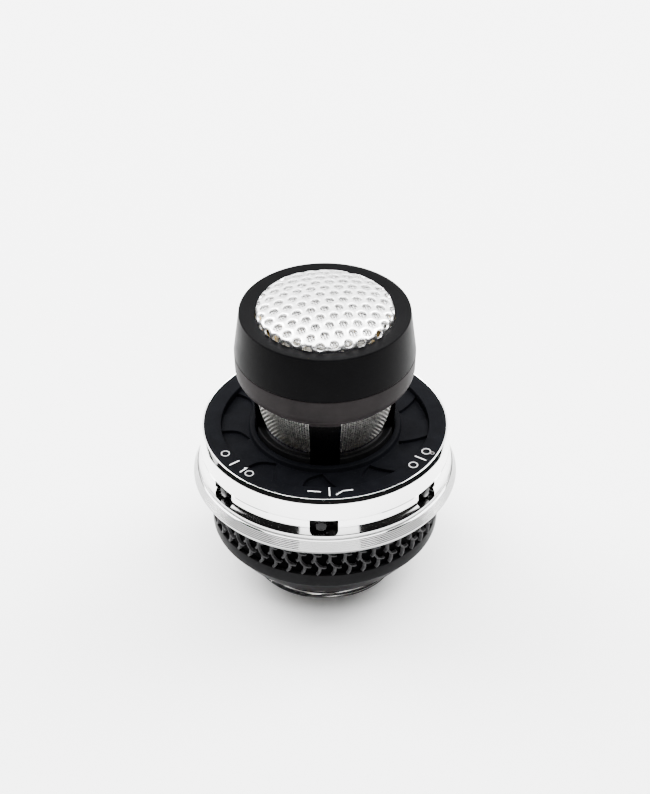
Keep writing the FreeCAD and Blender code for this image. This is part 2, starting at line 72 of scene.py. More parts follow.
class CapsuleHeadSizes(PropertyGroup):
    """Fine sizes of the capsule head's looks."""

    round_steps: IntProperty(
        name="Steps round", description="Facets round a turned piece", default=288, min=48, max=720)
    thread_pitch: FloatProperty(
        name="Thread pitch", description="Pitch of the base ring's thread", default=0.000907,
        unit="LENGTH", subtype="DISTANCE")
    hole_pitch: FloatProperty(
        name="Hole pitch", description="Distance between punched holes in the dome",
        default=0.002752, unit="LENGTH", subtype="DISTANCE")
    hole_radius: FloatProperty(
        name="Hole radius", description="Radius of the punched holes in the dome", default=0.0009,
        unit="LENGTH", subtype="DISTANCE")
    wire_pitch: FloatProperty(
        name="Wire pitch", description="Pitch of the woven wire cloth", default=0.0005,
        unit="LENGTH", subtype="DISTANCE")
    wire_radius: FloatProperty(
        name="Wire radius", description="Radius of one wire of the cloth", default=0.0001,
        unit="LENGTH", subtype="DISTANCE")
    tread_columns: IntProperty(
        name="Tread columns", description="Hooks round the rubber grip", default=48, min=12, max=96)
    pocket_depth: FloatProperty(
        name="Pocket depth", description="Depth of the fan-shaped pockets in the disc",
        default=0.0006, unit="LENGTH", subtype="DISTANCE")


class CapsuleHeadColours(PropertyGroup):
    """Base colours of the capsule head's finishes."""

    cap_black: FloatVectorProperty(
        name="Cap black", description="Satin black of the front cap", default=(0.0016, 0.0016, 0.0018),
        subtype="COLOR", min=0, max=1)
    bowl_black: FloatVectorProperty(
        name="Bowl black", description="Satin black of the rear bowl", default=(0.0135, 0.0120, 0.0122),
        subtype="COLOR", min=0, max=1)
    shell_black: FloatVectorProperty(
        name="Shell black", description="Satin black of the lower shell",
        default=(0.0062, 0.0062, 0.0066), subtype="COLOR", min=0, max=1)
    disc_black: FloatVectorProperty(
        name="Disc black", description="Matt blue-black of the suspension disc",
        default=(0.0024, 0.0026, 0.0034), subtype="COLOR", min=0, max=1)
    # Painted shade: the grip's band is coloured near black, darker than the hook tops of the same rubber,
    # for the shade between the hooks.
    tread_black: FloatVectorProperty(
        name="Tread black", description="Rubber of the grip", default=(0.0003, 0.0003, 0.0004),
        subtype="COLOR", min=0, max=1)
    # Painted light: the hook tops are coloured lighter than the band of the same rubber, for the light
    # they catch.
    lit_ridge_grey: FloatVectorProperty(
        name="Ridge grey", description="Worn top of the tread's hooks", default=(0.032, 0.032, 0.033),
        subtype="COLOR", min=0, max=1)
    bright_metal: FloatVectorProperty(
        name="Bright metal", description="Polished ring", default=(0.92, 0.92, 0.918),
        subtype="COLOR", min=0, max=1)
    print_white: FloatVectorProperty(
        name="Print white", description="Printed marks on the disc", default=(0.85, 0.85, 0.85),
        subtype="COLOR", min=0, max=1)
    floor_white: FloatVectorProperty(
        name="Floor", description="Pale floor", default=(0.93, 0.93, 0.93), subtype="COLOR",
        min=0, max=1)


def sizes():
    return bpy.context.scene.capsule_head_sizes


def colours():
    return bpy.context.scene.capsule_head_colours


# Meshes. A shape is a pair of lists: points in millimetres and faces.

def add_piece(name, shape, body="head", material=None, smooth_deg=32, replaces=()):
    points, faces = shape
    mesh = bpy.data.meshes.new(name)
    mesh.from_pydata([(x * MM, y * MM, z * MM) for x, y, z in points], [], faces)
    mesh.update()
    mesh.shade_smooth()
    mesh.set_sharp_from_angle(angle=math.radians(smooth_deg))
    piece = bpy.data.objects.new(name, mesh)
    bpy.context.scene.collection.objects.link(piece)
    if material:
        mesh.materials.append(material)
    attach(piece, body)
    if replaces:
        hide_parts(*replaces)
    return piece


def joined(*shapes):
    points = []
    faces = []
    for more_points, more_faces in shapes:
        start = len(points)
        points.extend(more_points)
        faces.extend([tuple(i + start for i in face) for face in more_faces])
    return points, faces


def arc_points(centre_r, centre_z, radius, from_deg, to_deg, count):
    """Points of an arc in an outline, as (radius, height)."""
    step = (to_deg - from_deg) / (count - 1)
    angles = [math.radians(from_deg + step * k) for k in range(count)]
    return [(centre_r + radius * math.cos(a), centre_z + radius * math.sin(a)) for a in angles]


def bend_points(start, middle, end, count):
    """Points of a curve through three points of an outline."""
    points = []
    for k in range(count + 1):
        t = k / count
        a, b, c = (1 - t) * (1 - 2 * t), 4 * t * (1 - t), t * (2 * t - 1)
        points.append(tuple(a * p + b * q + c * r for p, q, r in zip(start, middle, end)))
    return points


def softened(outline, radius, straight_deg=160):
    """The closed outline with each sharp corner cut by a small curve."""
    soft = []
    count = len(outline)
    for k in range(count):
        before = Vector(outline[k - 1])
        here = Vector(outline[k])
        after = Vector(outline[(k + 1) % count])
        to_before = before - here
        to_after = after - here
        if math.degrees(to_before.angle(to_after)) > straight_deg:
            soft.append(tuple(here))
            continue
        cut = min(radius * 1.2, 0.4 * to_before.length, 0.4 * to_after.length)
        start = here + to_before.normalized() * cut
        end = here + to_after.normalized() * cut
        for part in (0.0, 0.3, 0.7, 1.0):
            soft.append(tuple(start * (1 - part) ** 2 + here * 2 * part * (1 - part) + end * part ** 2))
    return soft


def band_faces(stations, count, closed=False, flipped=False):
    """Faces between neighbouring stations of an outline that is turned or swept."""
    faces = []
    for k in range(stations if closed else stations - 1):
        here = k * count
        there = (k + 1) % stations * count
        for i in range(count):
            j = (i + 1) % count
            if flipped:
                faces.append((here + i, here + j, there + j, there + i))
            else:
                faces.append((here + i, there + i, there + j, here + j))
    return faces


def lathe(outline, steps=None):
    """A closed outline of (radius, height) points, turned all the way round."""
    steps = steps or sizes().round_steps
    points = []
    for k in range(steps):
        turn = 2 * math.pi * k / steps
        points.extend([(r * math.cos(turn), r * math.sin(turn), z) for r, z in outline])
    return points, band_faces(steps, len(outline), closed=True)


def sector(outline, from_deg, to_deg, steps):
    """A closed outline swept through part of a turn, with flat ends."""
    points = []
    for k in range(steps + 1):
        turn = math.radians(from_deg + (to_deg - from_deg) * k / steps)
        points.extend([(r * math.cos(turn), r * math.sin(turn), z) for r, z in outline])
    count = len(outline)
    faces = band_faces(steps + 1, count)
    last = steps * count
    faces.append(tuple(range(count)))
    faces.append(tuple(last + i for i in reversed(range(count))))
    return points, faces


def cut_away(piece, cutters):
    """Cuts closed shapes out of a piece and keeps the result as its mesh."""
    helper_mesh = bpy.data.meshes.new("cutter")
    points, faces = joined(*cutters)
    helper_mesh.from_pydata([(x * MM, y * MM, z * MM) for x, y, z in points], [], faces)
    work = bmesh.new()
    work.from_mesh(helper_mesh)
    bmesh.ops.recalc_face_normals(work, faces=work.faces)
    work.to_mesh(helper_mesh)
    work.free()
    helper = bpy.data.objects.new("cutter", helper_mesh)
    bpy.context.scene.collection.objects.link(helper)
    cut = piece.modifiers.new("windows", "BOOLEAN")
    cut.object = helper
    cut.operation = "DIFFERENCE"
    cut.solver = "EXACT"
    bpy.context.view_layer.update()
    shaped = piece.evaluated_get(bpy.context.evaluated_depsgraph_get())
    mesh = bpy.data.meshes.new_from_object(shaped)
    piece.modifiers.clear()
    old = piece.data
    piece.data = mesh
    bpy.data.meshes.remove(old)
    bpy.data.objects.remove(helper)
    bpy.data.meshes.remove(helper_mesh)
    mesh.shade_smooth()
    mesh.set_sharp_from_angle(angle=math.radians(32))
    return piece


def sweep(path, frames, profile):
    """A profile carried along a path; frames gives the two axes of each station."""
    points = []
    count = len(profile)
    for place, (side, up) in zip(path, frames):
        points.extend([tuple(place + side * a + up * b) for a, b in profile])
    faces = band_faces(len(path), count, flipped=True)
    last = (len(path) - 1) * count
    faces.append(tuple(reversed(range(count))))
    faces.append(tuple(last + i for i in range(count)))
    return points, faces


# Materials.

class Finish:
    """A material under construction: one Principled shader and the nodes that feed it."""

    def __init__(self, name, colour, roughness, metallic=0.0):
        self.material = bpy.data.materials.new(name)
        self.material.use_nodes = True
        self.nodes = self.material.node_tree.nodes
        self.links = self.material.node_tree.links
        self.shader = self.nodes["Principled BSDF"]
        self.colour = tuple(colour) + (1.0,)
        self.roughness = roughness
        self.shader.inputs["Base Color"].default_value = self.colour
        self.shader.inputs["Roughness"].default_value = roughness
        self.shader.inputs["Metallic"].default_value = metallic
        self.place = self.nodes.new("ShaderNodeTexCoord").outputs["Object"]
        self.height = None

    def grain(self, per_metre, detail=3.0, stretch=(1, 1, 1)):
        """Soft noise in the object's own space."""
        scaled = self.nodes.new("ShaderNodeMapping")
        scaled.inputs["Scale"].default_value = stretch
        noise = self.nodes.new("ShaderNodeTexNoise")
        noise.inputs["Scale"].default_value = per_metre
        noise.inputs["Detail"].default_value = detail
        self.links.new(self.place, scaled.inputs["Vector"])
        self.links.new(scaled.outputs["Vector"], noise.inputs["Vector"])
        return noise.outputs["Fac"]

    def turned_lines(self, per_metre, distortion=1.5):
        """Fine lines left by a lathe, one above the other."""
        wave = self.nodes.new("ShaderNodeTexWave")
        wave.bands_direction = "Z"
        wave.inputs["Scale"].default_value = per_metre
        wave.inputs["Distortion"].default_value = distortion
        wave.inputs["Detail"].default_value = 2.0
        wave.inputs["Detail Scale"].default_value = 2.0
        self.links.new(self.place, wave.inputs["Vector"])
        return wave.outputs["Fac"]

    def rising(self, low, high):
        """0 below one height of the object and 1 above another, in metres."""
        split = self.nodes.new("ShaderNodeSeparateXYZ")
        span = self.nodes.new("ShaderNodeMapRange")
        span.inputs["From Min"].default_value = low
        span.inputs["From Max"].default_value = high
        self.links.new(self.place, split.inputs["Vector"])
        self.links.new(split.outputs["Z"], span.inputs["Value"])
        return span.outputs["Result"]

    def vary_colour(self, mask, darker, lighter):
        ramp = self.nodes.new("ShaderNodeValToRGB")
        low = tuple(c * darker for c in self.colour[:3]) + (1.0,)
        high = tuple(min(1.0, c * lighter) for c in self.colour[:3]) + (1.0,)
        ramp.color_ramp.elements[0].position = 0.3
        ramp.color_ramp.elements[1].position = 0.7
        ramp.color_ramp.elements[0].color = low
        ramp.color_ramp.elements[1].color = high
        self.links.new(mask, ramp.inputs["Fac"])
        self.links.new(ramp.outputs["Color"], self.shader.inputs["Base Color"])

    def vary_roughness(self, mask, spread):
        span = self.nodes.new("ShaderNodeMapRange")
        span.inputs["From Min"].default_value = 0.3
        span.inputs["From Max"].default_value = 0.7
        span.inputs["To Min"].default_value = max(0.02, self.roughness - spread)
        span.inputs["To Max"].default_value = min(1.0, self.roughness + spread)
        self.links.new(mask, span.inputs["Value"])
        self.links.new(span.outputs["Result"], self.shader.inputs["Roughness"])

    def bump(self, mask, strength, distance):
        node = self.nodes.new("ShaderNodeBump")
        node.inputs["Strength"].default_value = strength
        node.inputs["Distance"].default_value = distance
        self.links.new(mask, node.inputs["Height"])
        if self.height is not None:
            self.links.new(self.height, node.inputs["Normal"])
        self.height = node.outputs["Normal"]
        self.links.new(self.height, self.shader.inputs["Normal"])

    def dull(self, level):
        """How much of the usual reflection the surface keeps."""
        self.shader.inputs["Specular IOR Level"].default_value = level


def satin_black(name, colour, roughness, shine=0.015):
    """Fine anodised black on turned metal."""
    finish = Finish(name, colour, roughness)
    finish.dull(shine)
    cloud = finish.grain(220, 4.0)
    finish.vary_colour(cloud, 0.82, 1.22)
    finish.vary_roughness(cloud, 0.05)
    finish.bump(finish.grain(14000, 2.0), 0.10, 0.00002)
    finish.bump(finish.turned_lines(2600), 0.05, 0.00001)
    return finish.material


def disc_rubber():
    finish = Finish("disc_rubber", colours().disc_black, 0.5)
    finish.dull(0.012)
    finish.vary_colour(finish.grain(320, 5.0), 0.8, 1.25)
    finish.vary_roughness(finish.grain(900, 3.0), 0.06)
    finish.bump(finish.grain(11000, 3.0), 0.16, 0.00002)
    return finish.material


def tread_rubber():
    # Painted shade: near-black colour for the band lying in the hooks' shade.
    finish = Finish("tread_rubber", colours().tread_black, 0.3)
    finish.dull(0.002)
    finish.vary_colour(finish.grain(700, 4.0), 0.6, 1.4)
    finish.vary_roughness(finish.grain(2400, 3.0), 0.10)
    finish.bump(finish.grain(5200, 4.0), 0.35, 0.00006)
    return finish.material


def lit_ridge_rubber():
    """The tops of the hooks: rougher than the band, and coloured lighter than it as painted light where
    they catch the lamps.
    """
    finish = Finish("lit_ridge_rubber", colours().lit_ridge_grey, 0.5)
    finish.dull(0.05)
    finish.vary_colour(finish.grain(1500, 4.0), 0.7, 1.3)
    finish.vary_roughness(finish.grain(2600, 3.0), 0.08)
    finish.bump(finish.grain(9000, 3.0), 0.2, 0.00003)
    return finish.material


def frame_plastic():
    finish = Finish("frame_plastic", (0.0004, 0.0004, 0.0005), 0.22)
    finish.dull(0.012)
    finish.vary_colour(finish.grain(500, 3.0), 0.7, 1.3)
    finish.vary_roughness(finish.grain(1500, 3.0), 0.05)
    finish.bump(finish.grain(6000, 3.0), 0.06, 0.00002)
    return finish.material


def collar_plastic():
    """The matt collar at the foot of the vents."""
    finish = Finish("collar_plastic", (0.0034, 0.0034, 0.0036), 0.42)
    finish.dull(0.03)
    finish.vary_colour(finish.grain(500, 3.0), 0.8, 1.25)
    finish.vary_roughness(finish.grain(1500, 3.0), 0.05)
    finish.bump(finish.grain(8000, 3.0), 0.1, 0.00002)
    return finish.material


def polished_ring():
    """Turned light metal, polished all over; its colour is darkened on the flange and lip as painted
    reflection of a darker surround.
    """
    finish = Finish("polished_ring", colours().bright_metal, 0.07, 1.0)
    lines = finish.turned_lines(5200, 0.6)
    # Painted reflection: below about 25 mm the colour drops to 0.42 of the wall's, rising to full by
    # about 27 mm, for the darker surround the flange and lip reflect.
    finish.vary_colour(finish.rising(0.0235, 0.0285), 0.42, 1.0)
    finish.vary_roughness(finish.grain(1200, 4.0, (1, 1, 18)), 0.025)
    finish.bump(lines, 0.03, 0.000004)
    return finish.material


def bright_nickel(name, roughness):
    finish = Finish(name, (0.80, 0.795, 0.78), roughness, 1.0)
    finish.vary_colour(finish.grain(400, 4.0), 0.92, 1.05)
    finish.vary_roughness(finish.grain(2500, 4.0), 0.05)
    finish.bump(finish.grain(4200, 3.0), 0.05, 0.00001)
    return finish.material


def punched_sheet():
    """Bright plated sheet, slightly rippled between its punched holes."""
    finish = Finish("punched_sheet", (0.97, 0.97, 0.965), 0.30, 1.0)
    finish.vary_colour(finish.grain(500, 4.0), 0.94, 1.04)
    finish.vary_roughness(finish.grain(3000, 4.0), 0.07)
    finish.bump(finish.grain(1400, 3.0), 0.10, 0.00003)
    finish.bump(finish.grain(16000, 2.0), 0.08, 0.00001)
    return finish.material


def woven_wire(name, colour):
    finish = Finish(name, colour, 0.32, 1.0)
    finish.vary_colour(finish.grain(2500, 3.0), 0.75, 1.15)
    finish.vary_roughness(finish.grain(5000, 2.0), 0.08)
    finish.bump(finish.grain(20000, 2.0), 0.1, 0.00001)
    return finish.material


def print_ink():
    finish = Finish("print_ink", colours().print_white, 0.6)
    finish.vary_colour(finish.grain(4000, 4.0), 0.93, 1.05)
    finish.bump(finish.grain(12000, 2.0), 0.1, 0.00001)
    return finish.material


def switch_plastic(name, colour, roughness):
    finish = Finish(name, colour, roughness)
    finish.dull(0.1)
    finish.vary_colour(finish.grain(1800, 4.0), 0.7, 1.4)
    finish.vary_roughness(finish.grain(3000, 3.0), 0.06)
    finish.bump(finish.grain(9000, 3.0), 0.12, 0.00002)
    return finish.material


def board_laminate():
    """Green solder mask over a weave of glass, with faint copper runs."""
    finish = Finish("board_laminate", (0.012, 0.085, 0.045), 0.3)
    weave = finish.nodes.new("ShaderNodeTexBrick")
    weave.inputs["Scale"].default_value = 900
    weave.inputs["Color1"].default_value = (0.010, 0.075, 0.040, 1)
    weave.inputs["Color2"].default_value = (0.016, 0.105, 0.055, 1)
    weave.inputs["Mortar"].default_value = (0.022, 0.130, 0.070, 1)
    finish.links.new(finish.place, weave.inputs["Vector"])
    finish.links.new(weave.outputs["Color"], finish.shader.inputs["Base Color"])
    finish.vary_roughness(finish.grain(1500, 3.0), 0.06)
    finish.bump(weave.outputs["Fac"], 0.2, 0.00003)
    return finish.material


def plated(name, colour, roughness):
    finish = Finish(name, colour, roughness, 1.0)
    finish.vary_colour(finish.grain(900, 4.0), 0.85, 1.1)
    finish.vary_roughness(finish.grain(2500, 3.0), 0.07)
    finish.bump(finish.turned_lines(4000), 0.08, 0.00001)
    return finish.material


def moulded(name, colour, roughness):
    finish = Finish(name, colour, roughness)
    finish.vary_colour(finish.grain(900, 4.0), 0.8, 1.2)
    finish.vary_roughness(finish.grain(2500, 3.0), 0.06)
    finish.bump(finish.grain(9000, 3.0), 0.1, 0.00002)
    return finish.material


# The base: thread ring and contacts.

THREAD_R = 15.65
THREAD_DEPTH = 0.45
THREAD_ROWS = 44
THREAD_LOW = 0.35
RUNOUT = 0.35
NECK_R = 15.35


def thread_height(along):
    """A rounded V thread, 0 in the root and 1 at the crest."""
    wave = abs((along % 1.0) * 2 - 1)
    return min(1.0, max(0.0, (wave - 0.12) / 0.72))


def thread_ring_shape():
    """The base ring with its helical thread on the part below the shell."""
    pitch = sizes().thread_pitch / MM
    steps = sizes().round_steps
    rows = THREAD_ROWS
    low = THREAD_LOW
    high = SHELL_BASE
    inner = [(13.3, 0.3), (13.55, 0.02), (13.7, 0.0), (15.3, 0.0), (15.42, 0.05)]
    points = []
    for k in range(steps):
        part = k / steps
        turn = 2 * math.pi * part
        outline = list(inner)
        for i in range(rows + 1):
            z = low + (high - low) * i / rows
            crest = thread_height(z / pitch - part)
            fade = min(1.0, (z - low) / RUNOUT, (high - z) / RUNOUT)
            outline.append((THREAD_R - THREAD_DEPTH + THREAD_DEPTH * crest * max(0.0, fade), z))
        outline += [(NECK_R, SHELL_BASE + 0.1), (NECK_R, 7.4), (19.0, 7.4), (19.0, 9.0), (11.6, 9.0),
                    (11.6, 3.4), (13.3, 3.4)]
        points.extend([(r * math.cos(turn), r * math.sin(turn), z) for r, z in outline])
    return points, band_faces(steps, len(outline), closed=True)


# The lower shell and the grip.

def lower_shell_shape():
    belly = bend_points((19.3, 5.4), (21.07, 7.69), (22.55, 9.8), 8)
    corner = bend_points((22.62, 9.92), (23.17, 10.4), (23.4, 11.1), 6)
    outline = [(15.4, 5.4), (19.2, 5.4)] + belly + corner + [
        (23.4, 13.4), (21.6, 13.4), (21.6, 22.1), (20.0, 22.1), (20.0, 8.6), (19.3, 7.4), (15.4, 7.4)]
    return lathe(softened(outline, 0.1))


GRIP_BASE_R = 22.9
GRIP_TOP_R = 23.55
GRIP_MEAN_R = 23.3
TREAD_ROW_STEP = 3.1
TREAD_ROW_SHIFT = 1.0
TREAD_ROWS = 3
BAR_WIDTH = 0.62
ARC_WIDTH = 0.42


def on_grip(along, height, out):
    """A point on the grip: distance round it, height above the part's base, distance out."""
    angle = along / GRIP_MEAN_R
    return Vector((out * math.sin(angle), -out * math.cos(angle), height))


def smooth_path(corners, per_span=5):
    """A Catmull-Rom curve through corners given as (along, height)."""
    path = []
    ends = [corners[0]] + list(corners) + [corners[-1]]
    for k in range(1, len(ends) - 2):
        a, b, c, d = (Vector(ends[k + i]) for i in (-1, 0, 1, 2))
        for i in range(per_span):
            t = i / per_span
            path.append(0.5 * (2 * b + (c - a) * t + (2 * a - 5 * b + 4 * c - d) * t * t
                               + (3 * b - a - 3 * c + d) * t ** 3))
    path.append(Vector(corners[-1]))
    return path


def ridge(corners, width):
    """A raised rubber ridge along a curve on the grip, rounded on top and thinner at its ends."""
    flat = smooth_path(corners)
    last = len(flat) - 1
    points = []
    across = ((-0.5, 0.0), (-0.44, 0.75), (-0.3, 0.97), (0.0, 1.0), (0.3, 0.97), (0.44, 0.75),
              (0.5, 0.0))
    count = len(across)
    for k, place in enumerate(flat):
        ahead = flat[min(k + 1, last)] - flat[max(k - 1, 0)]
        ahead.normalize()
        side = Vector((-ahead.y, ahead.x))
        slim = 0.55 if k in (0, last) else (0.9 if k in (1, last - 1) else 1.0)
        rise = 0.75 if k in (0, last) else 1.0
        for a, b in across:
            at = place + side * (a * width * slim)
            out = GRIP_BASE_R - 0.1 + (GRIP_TOP_R - GRIP_BASE_R + 0.1) * b * rise
            points.append(tuple(on_grip(at.x, at.y, out)))
    faces = band_faces(len(flat), count, flipped=True)
    faces.append(tuple(range(count)))
    faces.append(tuple(last * count + i for i in reversed(range(count))))
    return points, faces


def tread_shape():
    """Staggered rows of hooks: a broad bar that curls to one side and an arc that leads on."""
    columns = sizes().tread_columns
    step = 2 * math.pi * GRIP_MEAN_R / columns
    top = GRIP_HIGH_Z - 0.25
    low = GRIP_LOW_Z + 0.15
    shapes = []
    for column in range(columns):
        for row in range(TREAD_ROWS):
            along = column * step + row * TREAD_ROW_SHIFT
            height = top - row * TREAD_ROW_STEP
            bar = [(0.0, 0.0), (0.02, -0.9), (-0.18, -1.55), (-0.62, -2.0)]
            arc = [(0.05, -1.1), (0.28, -2.1), (0.95, -2.95), (1.7, -3.25), (2.35, -3.15)]
            shapes.append(ridge([(along + x, max(low, height + y)) for x, y in bar], BAR_WIDTH))
            if height - 2.4 > low:
                shapes.append(ridge([(along + x, max(low, height + y)) for x, y in arc], ARC_WIDTH))
    return joined(*shapes)


def grip_band_shape():
    outline = [(21.62, GRIP_LOW_Z), (22.6, GRIP_LOW_Z), (GRIP_BASE_R, GRIP_LOW_Z + 0.25),
               (GRIP_BASE_R, GRIP_HIGH_Z), (21.62, GRIP_HIGH_Z)]
    return lathe(softened(outline, 0.1))


# The grille mount ring.

RIDGES = 6


def mount_ring_outline():
    """Flange, stepped slope, lip, cove, grooved wall and bevelled rim, as one closed outline."""
    steps = []
    low = (26.98, 22.95)
    high = (26.14, 24.85)
    for k in range(RIDGES):
        for part, proud in ((0.0, 0.0), (0.32, -0.01), (0.9, -0.1), (0.96, -0.13)):
            t = (k + part) / RIDGES
            base_r = low[0] + (high[0] - low[0]) * k / RIDGES
            steps.append((base_r + proud, low[1] + (high[1] - low[1]) * t))
    cove = bend_points((25.78, 26.03), (25.6, 26.4), (25.4, 26.85), 6)
    throat = bend_points((25.14, 27.42), (25.12, 27.66), (25.4, 28.0), 8)
    return [(17.6, 22.1), (26.6, 22.1), (26.95, 22.78), (27.0, 22.86), (27.0, 22.9)] + steps + [
        (26.1, 24.87), (25.98, 24.95), (25.72, 25.0), (25.7, 25.18), (25.84, 25.25), (25.87, 25.35),
        (25.87, 25.88), (25.83, 25.97)] + cove + throat + [
        (25.4, 29.36), (25.25, 29.45), (25.4, 29.54), (25.4, 33.62), (24.88, 34.42), (24.82, 34.5),
        (24.7, 34.5), (24.6, 34.46), (24.52, 34.38), (24.52, 33.2), (23.9, 33.2), (23.9, 24.6),
        (22.6, 24.6), (22.6, 23.6), (17.6, 23.6)]


WINDOW_HALF = 2.825
WINDOW_LOW = 26.0
WINDOW_HIGH = 29.5
WINDOW_CORNER = 0.9
SIDE_SWITCH_DEG = 52.9
FRONT_WINDOW_DEG = -0.5


def window_cutter(turn_deg):
    """A prism with square upper corners and round lower corners, through the ring's wall."""
    outline = [(WINDOW_HALF, WINDOW_HIGH), (-WINDOW_HALF, WINDOW_HIGH)]
    across = WINDOW_HALF - WINDOW_CORNER
    height = WINDOW_LOW + WINDOW_CORNER
    outline += arc_points(-across, height, WINDOW_CORNER, 180, 270, 8)
    outline += arc_points(across, height, WINDOW_CORNER, 270, 360, 8)
    turn = math.radians(turn_deg)
    points = []
    for out in (23.0, 28.0):
        for x, z in outline:
            points.append((x * math.cos(turn) + out * math.sin(turn),
                           x * math.sin(turn) - out * math.cos(turn), z))
    count = len(outline)
    faces = [tuple(range(count)), tuple(count + i for i in reversed(range(count)))]
    for i in range(count):
        j = (i + 1) % count
        faces.append((i, count + i, count + j, j))
    return points, faces


# The switches seen through the windows.

KNOB_Z = 27.6
SWITCH_FACE_R = 23.4
KNOB_REST = 0.75


def at_window(points, turn_deg):
    """Points given at the front as (right, out, up), turned to a window."""
    turn = math.radians(turn_deg)
    return [(x * math.cos(turn) + out * math.sin(turn), x * math.sin(turn) - out * math.cos(turn), z)
            for x, out, z in points]


def switch_face_shape(turn_deg):
    """The black face of a switch: a plate with a raised frame round its slot."""
    shapes = []
    blocks = ((-3.75, 3.75, 25.65, 30.15, SWITCH_FACE_R - 2.9, SWITCH_FACE_R - 0.5),
              (-4.7, -3.7, 25.2, 31.4, SWITCH_FACE_R - 1.4, SWITCH_FACE_R - 0.15),
              (3.7, 4.7, 25.2, 31.4, SWITCH_FACE_R - 1.4, SWITCH_FACE_R - 0.15),
              (-3.75, 3.75, 28.4, 30.15, SWITCH_FACE_R - 0.6, SWITCH_FACE_R),
              (-3.75, 3.75, 25.65, 26.8, SWITCH_FACE_R - 0.6, SWITCH_FACE_R),
              (-3.75, -1.7, 26.75, 28.45, SWITCH_FACE_R - 0.6, SWITCH_FACE_R),
              (1.7, 3.75, 26.75, 28.45, SWITCH_FACE_R - 0.6, SWITCH_FACE_R))
    for left, right, low, high, inner, outer in blocks:
        corners = [(left, inner, low), (right, inner, low), (right, inner, high), (left, inner, high),
                   (left, outer, low), (right, outer, low), (right, outer, high), (left, outer, high)]
        faces = [(0, 1, 2, 3), (7, 6, 5, 4), (0, 4, 5, 1), (1, 5, 6, 2), (2, 6, 7, 3), (3, 7, 4, 0)]
        shapes.append((at_window(corners, turn_deg), faces))
    return joined(*shapes)


def knob_shape(turn_deg, side):
    """A round knob with a domed, softly rimmed end, on its neck."""
    profile = [(0.0, 21.8), (0.6, 21.8), (0.6, 23.4), (1.13, 23.45), (1.13, 24.62), (1.09, 24.76),
               (0.98, 24.85), (0.8, 24.88), (0.45, 24.9), (0.0, 24.9)]
    around = 40
    points = []
    for radius, out in profile:
        for k in range(around):
            angle = 2 * math.pi * k / around
            across = side * KNOB_REST + radius * math.cos(angle)
            points.append((across, out, KNOB_Z + radius * math.sin(angle)))
    return at_window(points, turn_deg), band_faces(len(profile), around)


# The suspension disc.

POCKETS = 10
POCKET_FIRST_DEG = 268.5
POCKET_APEX_R = 15.65
POCKET_OUTER_R = 20.95
POCKET_WALL = 0.12
DISC_FLOOR = 33.4


def pocket_edges(radius):
    """How far the two arms of a pocket stand from its apex, in degrees, at one radius."""
    t = min(1.0, max(0.0, (radius - POCKET_APEX_R) / (POCKET_OUTER_R - POCKET_APEX_R)))
    return -11.3 * (1 - (1 - t) ** 4.5), 10.5 * t ** 1.1


def disc_shape():
    """The disc as a turned outline whose floor dips in ten fan-shaped pockets."""
    floor = [(15.6 + 0.09 * k, DISC_FLOOR) for k in range(60)]
    outline = [(14.18, 33.2), (14.18, 34.28), (14.23, 34.37), (14.34, 34.4), (15.08, 34.36),
               (15.24, 34.3), (15.34, 34.15), (15.4, 33.55), (15.5, DISC_FLOOR)] + floor + [
        (20.97, DISC_FLOOR), (21.02, DISC_FLOOR + 0.1), (21.06, 34.3), (21.12, 34.38), (21.2, 34.4),
        (24.4, 34.4), (24.48, 34.33), (24.48, 33.2), (23.6, 33.2), (23.6, 32.2), (15.0, 32.2),
        (15.0, 28.0), (13.0, 28.0), (13.0, 33.2)]
    depth = sizes().pocket_depth / MM
    wall_parts = (0.0, 0.25, 1.0)
    inner_parts = 9
    spoke_parts = 12
    rings = []
    for radius, z in outline:
        on_floor = POCKET_APEX_R < radius < POCKET_OUTER_R + 0.05 and abs(z - DISC_FLOOR) < 0.02
        bowed, straight = pocket_edges(radius)
        wall = math.degrees(POCKET_WALL / radius)
        width = straight - bowed
        share = min(1.0, width / (2.5 * wall)) if on_floor else 0.0
        wall = min(wall, 0.3 * width)
        ring = []
        for k in range(POCKETS):
            apex = POCKET_FIRST_DEG + 36 * k
            for part in wall_parts:
                ring.append((apex + bowed + wall * part, share * part))
            for i in range(1, inner_parts):
                part = i / inner_parts
                ring.append((apex + bowed + wall + (width - 2 * wall) * part, share))
            for part in reversed(wall_parts):
                ring.append((apex + straight - wall * part, share * part))
            for i in range(1, spoke_parts):
                ring.append((apex + straight + (36 - width) * i / spoke_parts, 0.0))
        turned = [(math.radians(a), z - depth * d) for a, d in ring]
        rings.append([(radius * math.cos(a), radius * math.sin(a), height) for a, height in turned])
    points = [p for ring in rings for p in ring]
    return points, band_faces(len(rings), len(rings[0]), closed=True)


# Printed marks.

MARK_R = 22.4
MARK_Z = 34.402
MARK_T = 0.02


def mark_at(radius, front_deg, along, out):
    """A point of a mark: along the disc's edge and out from its middle, on the disc's top."""
    turn = math.radians(front_deg)
    reach = radius + out
    x = reach * math.sin(turn) + along * math.cos(turn)
    y = -reach * math.cos(turn) + along * math.sin(turn)
    return x, y


